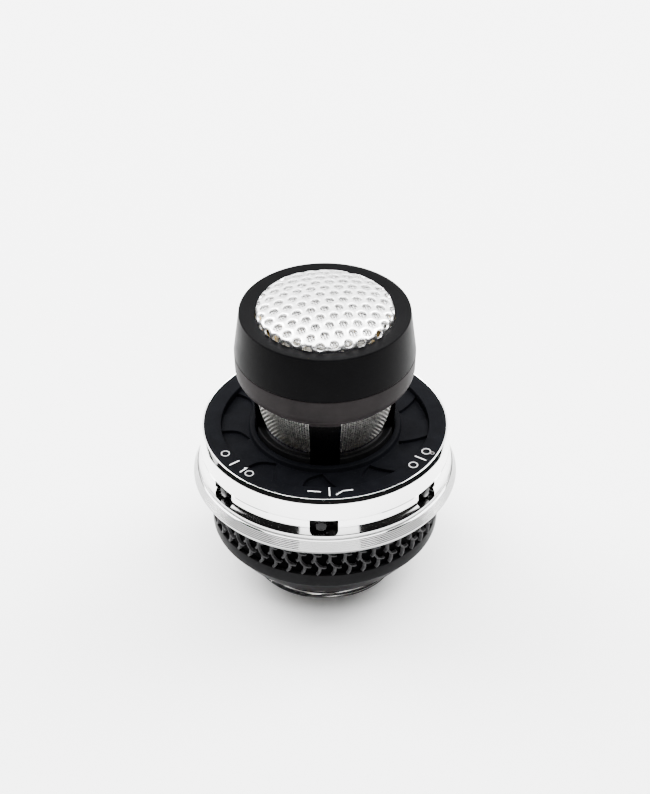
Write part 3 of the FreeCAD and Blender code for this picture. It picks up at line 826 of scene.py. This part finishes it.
def stroke(radius, front_deg, corners, width=0.21):
    """A printed line through corners given as (along, out)."""
    shapes = []
    for (x0, y0), (x1, y1) in zip(corners, corners[1:]):
        ahead = Vector((x1 - x0, y1 - y0)).normalized()
        side = Vector((-ahead.y, ahead.x)) * (width / 2)
        lap = ahead * (width * 0.35)
        start = Vector((x0, y0)) - lap
        end = Vector((x1, y1)) + lap
        ring = [start - side, end - side, end + side, start + side]
        base = [mark_at(radius, front_deg, p.x, p.y) for p in ring]
        points = [(x, y, MARK_Z - 0.01) for x, y in base] + [(x, y, MARK_Z + MARK_T) for x, y in base]
        faces = [(3, 2, 1, 0), (4, 5, 6, 7), (0, 1, 5, 4), (1, 2, 6, 5), (2, 3, 7, 6), (3, 0, 4, 7)]
        shapes.append((points, faces))
    return joined(*shapes)


def ring_stroke(radius, front_deg, centre, size, from_deg, to_deg):
    count = 20
    step = (to_deg - from_deg) / count
    corners = [(centre[0] + size * math.cos(math.radians(from_deg + step * k)),
                centre[1] + size * math.sin(math.radians(from_deg + step * k))) for k in range(count + 1)]
    return stroke(radius, front_deg, corners, 0.18)


# The vent frame and the woven side mesh.

POSTS = 4
POST_HALF = 2.925


def collar_shape():
    outline = [(11.5, 29.0), (12.9, 29.0), (12.9, 33.2), (13.85, 33.2), (13.85, 35.1),
               (13.8, 35.3), (13.68, 35.39), (13.55, 35.4), (13.4, 35.3), (13.1, 35.18), (12.45, 35.15),
               (12.2, 35.3), (12.1, 35.4), (11.5, 35.4)]
    return lathe(outline)


def post_shape(turn_deg):
    """One post: flat sides, a face that follows the collar, leaning out towards the bowl."""
    stations = ((33.2, 12.2, 14.1), (35.4, 12.15, 14.1), (38.4, 12.8, 14.2), (41.4, 13.4, 14.3),
                (44.6, 13.9, 14.35))
    turn = math.radians(turn_deg)
    points = []
    across = 8
    for z, inner, outer in stations:
        ring = []
        for k in range(across + 1):
            x = -POST_HALF + 2 * POST_HALF * k / across
            ring.append((x, -math.sqrt(outer ** 2 - x ** 2)))
        for k in range(across + 1):
            x = POST_HALF - 2 * POST_HALF * k / across
            ring.append((x, -math.sqrt(inner ** 2 - x ** 2)))
        for x, y in ring:
            points.append((x * math.cos(turn) - y * math.sin(turn),
                           x * math.sin(turn) + y * math.cos(turn), z))
    count = 2 * (across + 1)
    last = count * (len(stations) - 1)
    ends = [tuple(reversed(range(count))), tuple(last + i for i in range(count))]
    return points, ends + band_faces(len(stations), count, flipped=True)


def wire(path, outs, radius=None):
    """A thin wire with a square section through points, with the outward direction at each."""
    radius = radius or sizes().wire_radius / MM
    frames = []
    last = len(path) - 1
    for k in range(len(path)):
        ahead = (path[min(k + 1, last)] - path[max(k - 1, 0)]).normalized()
        up = outs[k]
        side = ahead.cross(up).normalized()
        frames.append((side * radius, up * radius))
    return sweep(path, frames, ((-0.8, -0.8), (0.8, -0.8), (0.8, 0.8), (-0.8, 0.8)))


MESH_COLUMNS = 160
MESH_LOW_Z = 35.4
MESH_HIGH_Z = 44.55


def cone_radius(z):
    """The mesh's middle surface: a cone with a slight belly."""
    t = (z - MESH_LOW_Z) / (MESH_HIGH_Z - MESH_LOW_Z)
    return 11.92 * (1 - t) * (1 - 2 * t) + 13.30 * 4 * t * (1 - t) + 13.98 * t * (2 * t - 1)


def on_cone(turn, z, out):
    r = cone_radius(z) + out
    return Vector((r * math.sin(turn), -r * math.cos(turn), z))


def side_mesh_shape():
    """Wire cloth in four conical panels between the posts, over and under at each crossing."""
    pitch = sizes().wire_pitch / MM
    lift = sizes().wire_radius / MM * 0.85
    low = MESH_LOW_Z
    high = MESH_HIGH_Z
    rows = int((high - low) / pitch)
    columns = MESH_COLUMNS
    turn_step = 2 * math.pi / columns
    shapes = []
    for quarter in range(POSTS):
        start = math.radians(quarter * 90 + 12.2)
        end = math.radians(quarter * 90 + 77.8)
        first = math.ceil(start / turn_step)
        last = math.floor(end / turn_step)
        for column in range(first, last + 1):
            turn = column * turn_step
            out = Vector((math.sin(turn), -math.cos(turn), -0.25)).normalized()
            path = []
            for row in range(rows + 1):
                z = low + (high - low) * row / rows
                over = lift if (row + column) % 2 else -lift
                path.append(on_cone(turn, z, over))
            shapes.append(wire(path, [out] * len(path)))
        for row in range(1, rows):
            z = low + (high - low) * row / rows
            path = []
            outs = []
            for column in range(first, last + 1):
                turn = column * turn_step
                over = -lift if (row + column) % 2 else lift
                path.append(on_cone(turn, z, over))
                outs.append(Vector((math.sin(turn), -math.cos(turn), -0.25)).normalized())
            shapes.append(wire(path, outs))
    return joined(*shapes)


# The rear bowl and the front cap.

def bowl_outline():
    shoulder = arc_points(14.4, 49.2, 3.5, -62, 0, 12)
    return [(14.3, 44.68), (14.43, 44.68), (15.3, 45.1)] + shoulder + [
        (18.0, 52.36), (17.86, 52.52), (16.7, 52.55), (16.7, 55.5), (15.7, 55.5), (15.7, 48.3),
        (14.9, 47.0), (14.2, 46.8), (11.0, 46.8), (11.0, 45.6), (14.3, 45.6)]


def bowl_shape():
    tab_half = math.degrees(math.asin(POST_HALF / 14.5))
    tab = [(14.3, 44.14), (14.6, 44.14), (14.72, 44.22), (15.0, 44.75), (15.4, 45.2), (14.3, 45.2)]
    shapes = [lathe(softened(bowl_outline(), 0.08))]
    for k in range(POSTS):
        middle = -90 + 90 * k
        shapes.append(sector(tab, middle - tab_half, middle + tab_half, 12))
    return joined(*shapes)


def cap_shape():
    outline = [(17.87, 52.58), (18.01, 52.74), (16.9, 61.56), (16.72, 61.73), (13.72, 61.38),
               (13.68, 61.3), (13.68, 60.2), (15.7, 60.2), (15.7, 55.6), (16.75, 55.6), (16.75, 52.58)]
    return lathe(softened(outline, 0.07))


# The perforated dome and the wire cloth under it.

DOME_SPHERE_R = 41.8
DOME_KNUCKLE_R = 12.75
DOME_SKIRT_R = 13.55
DOME_SHEET = 0.45
CLOTH_PITCH = 0.5
CLOTH_R = 13.0
CLOTH_WIRE_R = 0.14
CLOTH_GAP = 0.2
CLOTH_LIFT = 0.06
CLOTH_COS = 0.94
CLOTH_SIN = 0.342
HOLE_TURN_DEG = 11.0
HOLE_OFFSET = (0.85, -0.88)


def dome_point(flat_r, turn, under=0.0):
    """Where a point of the flat punched blank ends up once the sheet is pressed to a dome."""
    if flat_r <= DOME_KNUCKLE_R:
        slope = math.asin(flat_r / DOME_SPHERE_R)
        r = flat_r
        z = DOME_TOP - DOME_SPHERE_R * (1 - math.cos(slope))
    else:
        start_slope = math.asin(DOME_KNUCKLE_R / DOME_SPHERE_R)
        bend_r = (DOME_SKIRT_R - DOME_KNUCKLE_R) / (1 - math.sin(start_slope))
        knuckle_z = DOME_TOP - DOME_SPHERE_R * (1 - math.cos(start_slope))
        travel = flat_r - DOME_KNUCKLE_R
        slope = start_slope + travel / bend_r
        if slope <= math.pi / 2:
            r = DOME_KNUCKLE_R + bend_r * (math.sin(slope) - math.sin(start_slope))
            z = knuckle_z - bend_r * (math.cos(start_slope) - math.cos(slope))
        else:
            spare = travel - bend_r * (math.pi / 2 - start_slope)
            slope = math.pi / 2
            r = DOME_SKIRT_R
            z = knuckle_z - bend_r * math.cos(start_slope) - spare
    r -= under * math.sin(slope)
    z -= under * math.cos(slope)
    return r * math.cos(turn), r * math.sin(turn), z


def hole_lattice(reach):
    """Centres of the punched holes in a triangular lattice, as (x, y)."""
    pitch = sizes().hole_pitch / MM
    turn = math.radians(HOLE_TURN_DEG)
    centres = []
    for row in range(-7, 8):
        for place in range(-11, 12):
            along = pitch * (place + row / 2)
            across = pitch * math.sqrt(3) / 2 * row
            x = HOLE_OFFSET[0] + along * math.cos(turn) - across * math.sin(turn)
            y = HOLE_OFFSET[1] + along * math.sin(turn) + across * math.cos(turn)
            if math.hypot(x, y) < reach:
                centres.append((x, y))
    return centres


def dome_grille_shape():
    """The sheet as one cell round each hole, welded, with a rounded edge to each hole."""
    pitch = sizes().hole_pitch / MM
    hole = sizes().hole_radius / MM
    around = 36
    edge_limit = DOME_SKIRT_R + 2.0
    points = []
    faces = []
    index = {}

    def place(x, y, under):
        r = min(math.hypot(x, y), edge_limit)
        spot = dome_point(r, math.atan2(y, x), under)
        key = tuple(round(c, 3) for c in spot)
        if key not in index:
            index[key] = len(points)
            points.append(spot)
        return index[key]

    for cx, cy in hole_lattice(edge_limit + pitch * 0.4):
        loops = []
        for radius, under in ((hole, DOME_SHEET), (hole, 0.08), (hole + 0.02, 0.03), (hole + 0.07, 0.0),
                              (None, 0.0), (None, DOME_SHEET), (hole, DOME_SHEET)):
            loop = []
            for k in range(around):
                angle = 2 * math.pi * k / around
                reach = radius
                if reach is None:
                    sixth = angle - math.radians(HOLE_TURN_DEG) + math.pi / 6
                    to_side = sixth % (math.pi / 3) - math.pi / 6
                    reach = pitch / 2 / math.cos(to_side)
                loop.append(place(cx + reach * math.cos(angle), cy + reach * math.sin(angle), under))
            loops.append(loop)
        for number, (low, high) in enumerate(zip(loops, loops[1:])):
            if number == 4:
                continue
            for k in range(around):
                j = (k + 1) % around
                corner = []
                for i in (low[k], low[j], high[j], high[k]):
                    if i not in corner:
                        corner.append(i)
                if len(corner) > 2:
                    faces.append(tuple(corner))
    return points, faces


def dome_mesh_shape():
    """Wire cloth pressed to the same dome, seen through the punched holes."""
    pitch = CLOTH_PITCH
    radius = CLOTH_R
    sphere = DOME_SPHERE_R - DOME_SHEET - CLOTH_GAP
    count = int(radius / pitch)
    shapes = []
    for lengthwise in (True, False):
        for i in range(-count, count + 1):
            line = i * pitch
            half = int(math.sqrt(max(0.0, radius ** 2 - line ** 2)) / pitch)
            if half < 2:
                continue
            path = []
            for j in range(-half, half + 1):
                across = j * pitch
                over = CLOTH_LIFT if ((i + j) % 2 == 0) == lengthwise else -CLOTH_LIFT
                x, y = (line, across) if lengthwise else (across, line)
                z = DOME_TOP - DOME_SPHERE_R + math.sqrt(sphere ** 2 - x * x - y * y) + over
                path.append(Vector((CLOTH_COS * x - CLOTH_SIN * y, CLOTH_SIN * x + CLOTH_COS * y, z)))
            shapes.append(wire(path, [Vector((0, 0, 1))] * len(path), CLOTH_WIRE_R))
    return joined(*shapes)


SWITCHES = (
    ("pad_switch", -SIDE_SWITCH_DEG, -1), ("low_cut_switch", 0, -1),
    ("pattern_switch", SIDE_SWITCH_DEG, 1))


# Operators: one for each piece or group of like pieces, and one for the stage.

class CAPSULEHEAD_OT_base(Operator):
    """Build the threaded base ring and finish the contacts in its well"""

    bl_idname = "capsule_head.base"
    bl_label = "Base ring and contacts"

    def execute(self, context):
        add_piece("thread_ring", thread_ring_shape(), material=bright_nickel("thread_nickel", 0.2),
                  replaces=["base_thread_ring"])
        paint("contact_board", board_laminate())
        gold = plated("contact_gold", (0.86, 0.62, 0.22), 0.22)
        for node in ("contact_pad_centre", "contact_ring_middle", "contact_ring_outer"):
            paint(node, gold)
        return {"FINISHED"}


class CAPSULEHEAD_OT_shell(Operator):
    """Build the lower shell"""

    bl_idname = "capsule_head.shell"
    bl_label = "Lower shell"

    def execute(self, context):
        add_piece("shell_skin", lower_shell_shape(),
                  material=satin_black("shell_finish", colours().shell_black, 0.34),
                  replaces=["lower_shell"])
        return {"FINISHED"}


class CAPSULEHEAD_OT_grip(Operator):
    """Build the rubber grip with its tread of hooks"""

    bl_idname = "capsule_head.grip"
    bl_label = "Rubber grip"

    def execute(self, context):
        add_piece("grip_band", grip_band_shape(), material=tread_rubber(),
                  replaces=["grip_ring"])
        add_piece("grip_tread", tread_shape(), material=lit_ridge_rubber(), smooth_deg=60)
        return {"FINISHED"}


class CAPSULEHEAD_OT_mount_ring(Operator):
    """Build the polished grille mount ring with its three windows"""

    bl_idname = "capsule_head.mount_ring"
    bl_label = "Grille mount ring"

    def execute(self, context):
        ring = add_piece("mount_ring", lathe(softened(mount_ring_outline(), 0.03)),
                         material=polished_ring(),
                         replaces=["grille_mount_ring"])
        windows = (-SIDE_SWITCH_DEG, FRONT_WINDOW_DEG, SIDE_SWITCH_DEG)
        cut_away(ring, [window_cutter(a) for a in windows])
        return {"FINISHED"}


class CAPSULEHEAD_OT_switches(Operator):
    """Finish the three slide switches behind the windows"""

    bl_idname = "capsule_head.switches"
    bl_label = "Switches"

    def execute(self, context):
        case = switch_plastic("switch_case", (0.0010, 0.0010, 0.0010), 0.35)
        knob = switch_plastic("switch_knob", (0.004, 0.004, 0.0042), 0.2)
        for name, turn_deg, side in SWITCHES:
            add_piece(name + "_face", switch_face_shape(turn_deg), material=case,
                      replaces=[name + "_body"])
            add_piece(name + "_knob", knob_shape(turn_deg, side), body=name, material=knob,
                      replaces=[name + "_slider"], smooth_deg=40)
        return {"FINISHED"}


class CAPSULEHEAD_OT_disc(Operator):
    """Build the suspension disc with its fan-shaped pockets"""

    bl_idname = "capsule_head.disc"
    bl_label = "Suspension disc"

    def execute(self, context):
        add_piece("disc_skin", disc_shape(), material=disc_rubber(),
                  replaces=["suspension_disc"], smooth_deg=40)
        return {"FINISHED"}


class CAPSULEHEAD_OT_marks(Operator):
    """Print the plain marks beside the switches"""

    bl_idname = "capsule_head.marks"
    bl_label = "Printed marks"

    def execute(self, context):
        ink = print_ink()
        middle = MARK_R
        low_cut = joined(
            stroke(middle, -5.4, [(-1.2, 0.0), (1.2, 0.0)]),
            stroke(middle, 2.2, [(0.0, -1.2), (0.0, 1.2)]),
            stroke(middle, 9.7, [(-1.7, 0.9), (-0.3, 0.0), (1.6, 0.0)]))
        add_piece("low_cut_mark", low_cut, material=ink)
        pattern = joined(
            ring_stroke(middle, 51.0, (0.0, 0.0), 0.85, 0, 360),
            stroke(middle, 57.6, [(0.0, -1.2), (0.0, 1.2)]),
            ring_stroke(middle, 64.0, (0.0, 0.0), 0.85, 0, 360),
            ring_stroke(middle, 64.0, (0.0, 1.3), 0.35, 0, 360))
        add_piece("pattern_mark", pattern, material=ink)
        zero = ring_stroke(middle, -62.0, (0.0, 0.0), 0.8, 0, 360)
        one = stroke(middle, -45.5, [(-0.3, -0.5), (0.0, -0.9), (0.0, 0.9)], 0.24)
        bar = stroke(middle, -53.0, [(0.0, -1.1), (0.0, 1.1)], 0.24)
        nought = ring_stroke(middle, -41.5, (0.0, 0.0), 0.8, 0, 360)
        add_piece("pad_mark", joined(zero, bar, one, nought), material=ink)
        return {"FINISHED"}


class CAPSULEHEAD_OT_vents(Operator):
    """Build the vent frame and the woven mesh behind it"""

    bl_idname = "capsule_head.vents"
    bl_label = "Side vents"

    def execute(self, context):
        frame_shape = joined(*[post_shape(90 * k) for k in range(POSTS)])
        add_piece("vent_frame_skin", frame_shape, material=frame_plastic(),
                  replaces=["vent_frame"])
        add_piece("vent_collar", collar_shape(), material=collar_plastic())
        add_piece("side_wire_cloth", side_mesh_shape(),
                  material=woven_wire("side_wire", (0.46, 0.455, 0.44)),
                  replaces=["side_mesh"], smooth_deg=70)
        return {"FINISHED"}


class CAPSULEHEAD_OT_housing(Operator):
    """Build the rear bowl and the front cap"""

    bl_idname = "capsule_head.housing"
    bl_label = "Capsule housing"

    def execute(self, context):
        add_piece("bowl_skin", bowl_shape(),
                  material=satin_black("bowl_finish", colours().bowl_black, 0.42),
                  replaces=["rear_bowl"])
        add_piece("cap_skin", cap_shape(),
                  material=satin_black("cap_finish", colours().cap_black, 0.36),
                  replaces=["front_cap"])
        return {"FINISHED"}


class CAPSULEHEAD_OT_dome(Operator):
    """Build the perforated dome and the wire cloth under it"""

    bl_idname = "capsule_head.dome"
    bl_label = "Dome and wire cloth"

    def execute(self, context):
        add_piece("dome_sheet", dome_grille_shape(), material=punched_sheet(),
                  replaces=["dome_grille"], smooth_deg=50)
        add_piece("dome_wire_cloth", dome_mesh_shape(),
                  material=woven_wire("dome_wire", (0.92, 0.91, 0.90)),
                  replaces=["dome_mesh"], smooth_deg=70)
        return {"FINISHED"}


class CAPSULEHEAD_OT_inner_parts(Operator):
    """Finish the pieces inside the head"""

    bl_idname = "capsule_head.inner_parts"
    bl_label = "Inner parts"

    def execute(self, context):
        laminate = bpy.data.materials["board_laminate"]
        brass = plated("turned_brass", (0.70, 0.50, 0.22), 0.28)
        steel = plated("screw_steel", (0.56, 0.56, 0.55), 0.3)
        film = plated("coated_film", (0.55, 0.54, 0.50), 0.2)
        black = moulded("connector_black", (0.012, 0.012, 0.012), 0.42)
        soft = moulded("seat_rubber", (0.015, 0.015, 0.016), 0.6)
        white = moulded("insulator", (0.72, 0.70, 0.64), 0.35)
        red = moulded("capacitor_red", (0.30, 0.035, 0.02), 0.3)
        lead = moulded("lead_black", (0.012, 0.012, 0.013), 0.4)
        dark_board = moulded("black_laminate", (0.004, 0.004, 0.0045), 0.4)
        finishes = {
            "preamp_board": laminate, "switch_board": dark_board, "board_standoffs": brass,
            "backplate": brass, "rear_clamp_ring": brass, "front_clamp_ring": brass,
            "grille_retainer": brass, "flange_screws": steel, "board_screws": steel,
            "shell_screws": steel, "clamp_screws": steel, "input_transistor": steel,
            "rear_diaphragm": film, "front_diaphragm": film, "contact_header": black,
            "switch_board_header": black, "capsule_mount_ring": soft, "capsule_insulator": white,
            "coupling_capacitors": red, "capsule_leads": lead}
        for node, material in finishes.items():
            paint(node, material)
        return {"FINISHED"}


def paint(node, material):
    """Gives a solid that shows as it is its finish."""
    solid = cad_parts[node]
    solid.data.materials.clear()
    solid.data.materials.append(material)


# The stage: camera, lights and floor.

CAMERA_DISTANCE = 0.4018
CAMERA_ELEVATION_DEG = 36.94
CAMERA_TARGET_Z = 0.04053
CAMERA_LENS = 90.68
FLOOR_HALF = 0.75


def make_camera():
    data = bpy.data.cameras.new("photo_camera")
    data.sensor_width = 36
    data.lens = CAMERA_LENS
    data.clip_start = 0.01
    data.clip_end = 20
    camera = bpy.data.objects.new("photo_camera", data)
    rise = math.radians(CAMERA_ELEVATION_DEG)
    back = Vector((0, -math.cos(rise), math.sin(rise)))
    camera.location = Vector((0, 0, CAMERA_TARGET_Z)) + back * CAMERA_DISTANCE
    camera.rotation_mode = "QUATERNION"
    camera.rotation_quaternion = (-back).to_track_quat("-Z", "Y")
    bpy.context.scene.collection.objects.link(camera)
    bpy.context.scene.camera = camera


def soft_light(name, place, size, power, aim=(0, 0, 0.035)):
    data = bpy.data.lights.new(name, "AREA")
    data.shape = "RECTANGLE"
    data.size, data.size_y = size
    data.energy = power
    light = bpy.data.objects.new(name, data)
    light.location = place
    light.rotation_mode = "QUATERNION"
    light.rotation_quaternion = (Vector(aim) - Vector(place)).to_track_quat("-Z", "Y")
    bpy.context.scene.collection.objects.link(light)


def make_floor():
    half = FLOOR_HALF
    mesh = bpy.data.meshes.new("floor")
    mesh.from_pydata([(-half, -half, 0), (half, -half, 0), (half, half, 0), (-half, half, 0)], [],
                     [(0, 1, 2, 3)])
    floor = bpy.data.objects.new("floor", mesh)
    bpy.context.scene.collection.objects.link(floor)
    finish = Finish("floor_paper", colours().floor_white, 0.9)
    finish.vary_colour(finish.grain(30, 2.0), 0.995, 1.0)
    mesh.materials.append(finish.material)


class CAPSULEHEAD_OT_stage(Operator):
    """Set the camera, the soft studio lights and the pale floor"""

    bl_idname = "capsule_head.stage"
    bl_label = "Stage"

    def execute(self, context):
        make_camera()
        make_floor()
        # name, place, size and power of each soft light
        soft_light("left_box", (-0.55, 0.30, 0.62), (0.5, 0.5), 17)
        soft_light("right_box", (0.55, 0.30, 0.62), (0.5, 0.5), 17)
        soft_light("top_box", (0.0, 0.0, 0.80), (0.9, 1.0), 30)
        soft_light("back_box", (0.0, 0.62, 0.42), (1.1, 0.6), 9)
        soft_light("front_box", (0.05, -0.80, 0.15), (0.70, 0.20), 1.7)
        soft_light("left_card", (-0.60, 0.30, 0.16), (0.4, 0.22), 0.5)
        world = bpy.data.worlds.new("studio")
        bpy.context.scene.world = world
        world.use_nodes = True
        world.node_tree.nodes["Background"].inputs["Color"].default_value = (0.9, 0.9, 0.9, 1)
        world.node_tree.nodes["Background"].inputs["Strength"].default_value = 0.012
        return {"FINISHED"}


class CAPSULEHEAD_PT_panel(Panel):
    """The sidebar panel with one button for each piece"""

    bl_label = "Capsule head"
    bl_idname = "CAPSULEHEAD_PT_panel"
    bl_space_type = "VIEW_3D"
    bl_region_type = "UI"
    bl_category = "Capsule head"

    def draw(self, context):
        for operator in OPERATORS:
            self.layout.operator(operator.bl_idname)


OPERATORS = (
    CAPSULEHEAD_OT_stage, CAPSULEHEAD_OT_base, CAPSULEHEAD_OT_shell, CAPSULEHEAD_OT_grip,
    CAPSULEHEAD_OT_mount_ring, CAPSULEHEAD_OT_switches, CAPSULEHEAD_OT_disc, CAPSULEHEAD_OT_marks,
    CAPSULEHEAD_OT_vents, CAPSULEHEAD_OT_housing, CAPSULEHEAD_OT_dome, CAPSULEHEAD_OT_inner_parts)
CLASSES = (CapsuleHeadSizes, CapsuleHeadColours) + OPERATORS + (CAPSULEHEAD_PT_panel,)


def register():
    for cls in CLASSES:
        bpy.utils.register_class(cls)
    bpy.types.Scene.capsule_head_sizes = PointerProperty(type=CapsuleHeadSizes)
    bpy.types.Scene.capsule_head_colours = PointerProperty(type=CapsuleHeadColours)


def unregister():
    del bpy.types.Scene.capsule_head_colours
    del bpy.types.Scene.capsule_head_sizes
    for cls in reversed(CLASSES):
        bpy.utils.unregister_class(cls)


def main():
    register()
    bpy.ops.capsule_head.stage()
    bpy.ops.capsule_head.base()
    bpy.ops.capsule_head.shell()
    bpy.ops.capsule_head.grip()
    bpy.ops.capsule_head.mount_ring()
    bpy.ops.capsule_head.switches()
    bpy.ops.capsule_head.disc()
    bpy.ops.capsule_head.marks()
    bpy.ops.capsule_head.vents()
    bpy.ops.capsule_head.housing()
    bpy.ops.capsule_head.dome()
    bpy.ops.capsule_head.inner_parts()


if __name__ == "__main__":
    main()
